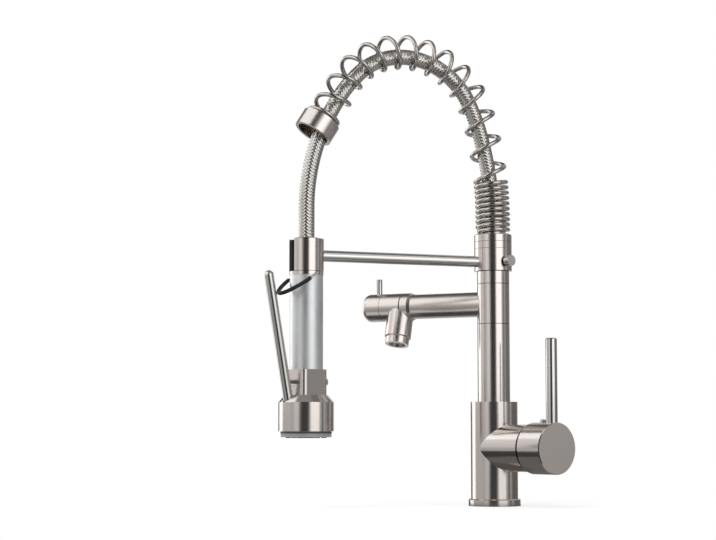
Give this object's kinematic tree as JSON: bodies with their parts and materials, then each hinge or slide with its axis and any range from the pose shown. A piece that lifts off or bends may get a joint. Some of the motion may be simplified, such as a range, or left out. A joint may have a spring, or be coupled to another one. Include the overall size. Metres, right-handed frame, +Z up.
{
  "type": "pull-down kitchen faucet",
  "caption": "Deck-mounted kitchen faucet: spring arch over a braided hose, docked trigger sprayer, swivelling pot-filler spout and side lever mixer",
  "frame": {"origin": "centre of the base flange on the deck surface", "axes": "+Z up the column, +X along the mixer handle's axis, -Y toward the user"},
  "size_m": [0.2231, 0.2637, 0.5154],
  "materials": {
    "brushed_nickel": "brushed nickel plate on brass",
    "polished_nickel": "polished nickel plate",
    "satin_grip": "satin anodised silver grey",
    "spring_steel": "polished spring wire, nickel plated",
    "braided_hose": "stainless wire braid over a rubber hose",
    "brass": "machined brass",
    "black_plastic": "moulded black plastic",
    "grey_plastic": "moulded grey plastic",
    "ceramic": "ground alumina ceramic",
    "rubber": "moulded black rubber",
    "stainless": "turned stainless steel"
  },
  "bodies": {
    "base": {"base_flange": "brushed_nickel", "base_gasket": "rubber", "mounting_shank": "brass", "body_shell": "brushed_nickel", "cartridge_body": "black_plastic", "cartridge_port_seals": "rubber", "cartridge_fixed_disc": "ceramic", "cartridge_nut": "brass", "column_lower_tube": "brushed_nickel", "column_upper_tube": "brushed_nickel", "column_glide_rings": "black_plastic", "riser_tube": "brass", "riser_retaining_clip": "stainless"},
    "handle_turret": {"cartridge_turret": "black_plastic", "stem_pivot_pin": "stainless"},
    "handle": {"cartridge_stem": "stainless", "handle_cap": "brushed_nickel", "handle_lever": "polished_nickel", "handle_set_screw": "stainless", "handle_plug": "polished_nickel"},
    "mixing_disc": {"cartridge_moving_disc": "ceramic"},
    "spout": {"spout_hub": "brushed_nickel", "spout_hub_seals": "rubber", "spout_tube": "brushed_nickel", "spout_valve_body": "brushed_nickel", "spout_nozzle": "brushed_nickel", "spout_aerator": "brushed_nickel", "aerator_screen": "grey_plastic"},
    "spout_valve": {"spout_knob": "brushed_nickel", "spout_knob_pin": "polished_nickel", "spout_valve_stopper": "brass"},
    "arm": {"arm_collar": "brushed_nickel", "arm_rod": "polished_nickel", "dock_clip": "brushed_nickel", "dock_liner": "black_plastic", "collar_ring": "brushed_nickel", "spring_seat": "brushed_nickel", "hose_inlet_fitting": "brass", "arch_spring": "spring_steel", "spring_ferrule": "brushed_nickel", "arch_hose": "braided_hose", "hose_drop": "braided_hose"},
    "lock_screw": {"arm_lock_screw": "polished_nickel"},
    "hose_end": {"hose_outlet_fitting": "brass"},
    "sprayer": {"sprayer_neck": "black_plastic", "neck_ring": "brushed_nickel", "grip_sleeve": "satin_grip", "sprayer_water_tube": "brass", "valve_block": "brushed_nickel", "block_screw": "polished_nickel", "valve_gland": "brass", "valve_spring": "spring_steel", "spray_head_shell": "brushed_nickel", "trigger_pivot_pin": "stainless", "spray_face": "grey_plastic", "spray_jets": "rubber"},
    "trigger": {"trigger_lever": "polished_nickel"},
    "plunger": {"valve_plunger": "stainless"},
    "bail": {"bail_wire": "polished_nickel", "bail_sleeve": "rubber"}
  },
  "joints": [
    {"name": "handle_turn", "type": "hinge", "parent": "base", "child": "handle_turret", "pos_m": [0.045, 0, 0.057], "axis": [1, 0, 0], "range_deg": [-45, 45]},
    {"name": "handle_lift", "type": "hinge", "parent": "handle_turret", "child": "handle", "pos_m": [0.045, 0, 0.057], "axis": [0, 1, 0], "range_deg": [0, 22]},
    {"name": "disc_slide", "type": "slide", "parent": "handle_turret", "child": "mixing_disc", "axis": [0, 0, 1], "range_m": [0, 0.00468]},
    {"name": "spout_swivel", "type": "hinge", "parent": "base", "child": "spout", "pos_m": [0, 0, 0.2], "axis": [0, 0, 1], "range_deg": [-110, 110]},
    {"name": "spout_valve_turn", "type": "hinge", "parent": "spout", "child": "spout_valve", "pos_m": [-0.11967, -0.05079, 0.2], "axis": [-0.9205, -0.3907, 0], "range_deg": [-90, 0]},
    {"name": "arm_swivel", "type": "hinge", "parent": "base", "child": "arm", "pos_m": [0, 0, 0.242], "axis": [0, 0, 1], "range_deg": [-120, 120]},
    {"name": "lock_screw_turn", "type": "hinge", "parent": "arm", "child": "lock_screw", "pos_m": [0.02, 0, 0.242], "axis": [1, 0, 0], "range_deg": [0, 180]},
    {"name": "sprayer_pull", "type": "slide", "parent": "arm", "child": "hose_end", "axis": [0, 0, -1], "range_m": [0, 0.06], "stiffness_N_per_m": 60, "springref_m": -0.2, "deforming": ["hose_drop"]},
    {"name": "sprayer_turn", "type": "hinge", "parent": "hose_end", "child": "sprayer", "pos_m": [-0.05987, -0.18873, 0.24], "axis": [0, 0, 1], "continuous": true},
    {"name": "trigger_squeeze", "type": "hinge", "parent": "sprayer", "child": "trigger", "pos_m": [-0.05987, -0.20983, 0.1024], "axis": [-1, 0, 0], "range_deg": [0, 7], "stiffness_Nm_per_rad": 0.8, "springref_deg": -11.46},
    {"name": "plunger_push", "type": "slide", "parent": "sprayer", "child": "plunger", "axis": [0, 1, 0], "range_m": [0, 0.00221], "deforming": ["valve_spring"]},
    {"name": "bail_swing", "type": "hinge", "parent": "sprayer", "child": "bail", "pos_m": [-0.05987, -0.18873, 0.2244], "axis": [1, 0, 0], "range_deg": [0, 27]}
  ],
  "couplings": [
    {"joint": "disc_slide", "follows": "handle_lift", "m_per_rad": 0.0122},
    {"joint": "plunger_push", "follows": "trigger_squeeze", "m_per_rad": 0.0181},
    {"joint": "bail_swing", "follows": "trigger_squeeze", "ratio": 3.8571}
  ]
}
